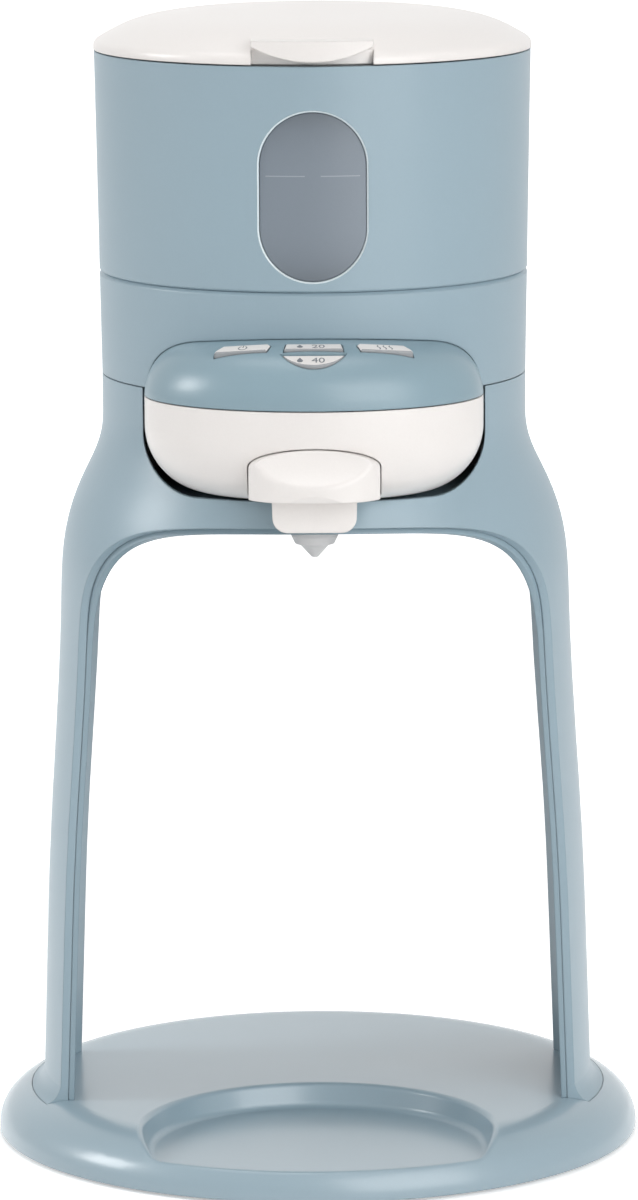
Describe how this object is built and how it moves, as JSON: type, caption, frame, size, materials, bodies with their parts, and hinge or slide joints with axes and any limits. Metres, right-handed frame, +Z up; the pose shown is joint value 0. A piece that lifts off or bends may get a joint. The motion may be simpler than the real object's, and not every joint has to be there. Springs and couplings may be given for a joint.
{
  "type": "baby formula maker",
  "caption": "Countertop machine that heats water from a lidded tank, mixes it with milk powder from a drawer and fills a bottle standing on its round base.",
  "frame": {"origin": "on the table under the middle of the round base", "axes": "+Z up, -Y towards the user (the side with the control pod), +X to the right seen from the front"},
  "size_m": [0.176, 0.176, 0.3102],
  "materials": {
    "blue_shell": "satin grey-blue moulded plastic",
    "cover_blue": "satin darker grey-blue moulded plastic",
    "white_shell": "semi-gloss white moulded plastic",
    "liner_blue": "satin grey-blue moulded plastic",
    "window": "frosted dark grey translucent plastic",
    "tank_clear": "clear smoky plastic",
    "silicone": "matt grey silicone",
    "feet": "matt black rubber",
    "under_black": "matt dark plastic",
    "inner_white": "matt natural white plastic",
    "steel": "bare steel",
    "heater": "cast aluminium",
    "pump_black": "matt black",
    "hose": "translucent silicone tube",
    "board": "green circuit board",
    "chips": "black components",
    "brass_pins": "bare brass"
  },
  "bodies": {
    "machine": {"base_top": "blue_shell", "base_bottom": "under_black", "rubber_feet": "feet", "base_screws": "steel", "leg_screws": "steel", "stand_shell": "blue_shell", "stand_liner": "liner_blue", "under_cover": "liner_blue", "cover_screws": "steel", "lower_housing": "blue_shell", "upper_housing": "blue_shell", "window_lens": "window", "window_seal": "silicone", "hinge_pin": "steel", "power_inlet": "under_black", "inlet_pins": "brass_pins", "chassis": "inner_white", "water_tank": "tank_clear", "tank_strainer": "inner_white", "water_pump": "pump_black", "pump_mount": "silicone", "thermoblock": "heater", "heater_terminals": "brass_pins", "thermal_fuse": "inner_white", "temperature_sensor": "steel", "suction_hose": "hose", "pressure_hose": "hose", "spout_hose": "hose", "control_board": "board", "board_parts": "chips", "pod_bowl": "white_shell", "pod_ceiling": "inner_white", "water_spout": "inner_white", "pod_cover": "cover_blue", "button_board": "board", "button_switches": "chips", "mixing_funnel": "inner_white", "drip_nozzle": "silicone"},
    "lid": {"lid_shell": "white_shell", "lid_liner": "inner_white", "lid_seal": "silicone"},
    "drawer": {"drawer_front": "white_shell", "powder_tray": "inner_white", "tray_valve": "silicone"},
    "back_button": {"button_back": "white_shell"},
    "front_button": {"button_front": "white_shell"},
    "left_button": {"button_left": "white_shell"},
    "right_button": {"button_right": "white_shell"}
  },
  "joints": [
    {"name": "lid_hinge", "type": "hinge", "parent": "machine", "child": "lid", "pos_m": [0, 0.061, 0.3006], "axis": [-1, 0, 0], "range_deg": [0, 100]},
    {"name": "drawer_slide", "type": "slide", "parent": "machine", "child": "drawer", "axis": [0, -1, 0], "range_m": [0, 0.045]},
    {"name": "back_button_press", "type": "slide", "parent": "machine", "child": "back_button", "axis": [0, 0.2607, -0.9654], "range_m": [0, 0.0008], "stiffness_N_per_m": 600},
    {"name": "front_button_press", "type": "slide", "parent": "machine", "child": "front_button", "axis": [0, 0.2607, -0.9654], "range_m": [0, 0.0008], "stiffness_N_per_m": 600},
    {"name": "left_button_press", "type": "slide", "parent": "machine", "child": "left_button", "axis": [0, 0.2607, -0.9654], "range_m": [0, 0.0008], "stiffness_N_per_m": 600},
    {"name": "right_button_press", "type": "slide", "parent": "machine", "child": "right_button", "axis": [0, 0.2607, -0.9654], "range_m": [0, 0.0008], "stiffness_N_per_m": 600}
  ]
}
